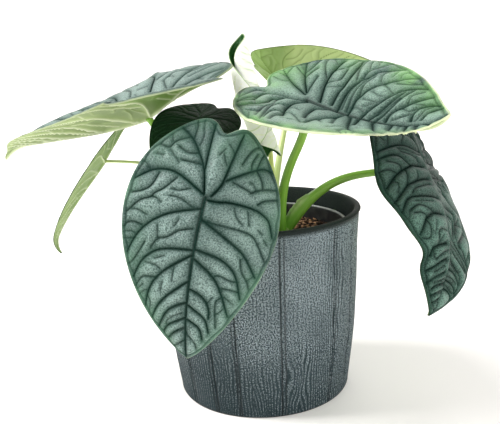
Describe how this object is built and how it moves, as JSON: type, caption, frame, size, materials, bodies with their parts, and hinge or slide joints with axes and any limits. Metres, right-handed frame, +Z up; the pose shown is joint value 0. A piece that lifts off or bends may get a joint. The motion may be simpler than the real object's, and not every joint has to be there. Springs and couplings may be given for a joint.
{
  "type": "potted alocasia plant",
  "caption": "Potted alocasia with thick quilted shield-shaped leaves on slender stalks, standing in a grooved slate-coloured pot.",
  "frame": {"origin": "centre of the pot's underside", "axes": "+Z up along the pot's axis, -Y towards the front leaf and the viewer, +X to the viewer's right"},
  "size_m": [0.3389, 0.2384, 0.2601],
  "materials": {
    "slate_pot": "matte speckled slate, grooved like planks",
    "black_plastic": "satin black plastic",
    "bark_soil": "rough brown bark chips",
    "stem": "sheathed green stem",
    "blade_front": "pebbled grey-green blade, pale underside, dark sunken veins",
    "petiole_front": "smooth green stalk",
    "blade_right_upper": "pebbled grey-green blade, pale underside, dark sunken veins",
    "petiole_right_upper": "smooth green stalk",
    "blade_right_hanging": "pebbled grey-green blade, pale underside, dark sunken veins",
    "petiole_right_hanging": "smooth green stalk",
    "blade_left_upper": "pebbled grey-green blade, pale underside, dark sunken veins",
    "petiole_left_upper": "smooth green stalk",
    "blade_left_lower": "pebbled grey-green blade, pale underside, dark sunken veins",
    "petiole_left_lower": "smooth green stalk",
    "blade_middle": "pebbled grey-green blade, pale underside, dark sunken veins",
    "petiole_middle": "smooth green stalk",
    "blade_back": "pebbled grey-green blade, pale underside, dark sunken veins",
    "petiole_back": "smooth green stalk",
    "blade_young": "cream-white rolled young blade",
    "petiole_young": "smooth lime-green stalk"
  },
  "bodies": {
    "root": {"pot": "slate_pot", "nursery_pot": "black_plastic", "soil": "bark_soil", "stem": "stem", "blade_front": "blade_front", "petiole_front": "petiole_front", "blade_right_upper": "blade_right_upper", "petiole_right_upper": "petiole_right_upper", "blade_right_hanging": "blade_right_hanging", "petiole_right_hanging": "petiole_right_hanging", "blade_left_upper": "blade_left_upper", "petiole_left_upper": "petiole_left_upper", "blade_left_lower": "blade_left_lower", "petiole_left_lower": "petiole_left_lower", "blade_middle": "blade_middle", "petiole_middle": "petiole_middle", "blade_back": "blade_back", "petiole_back": "petiole_back", "blade_young": "blade_young", "petiole_young": "petiole_young"}
  },
  "joints": []
}
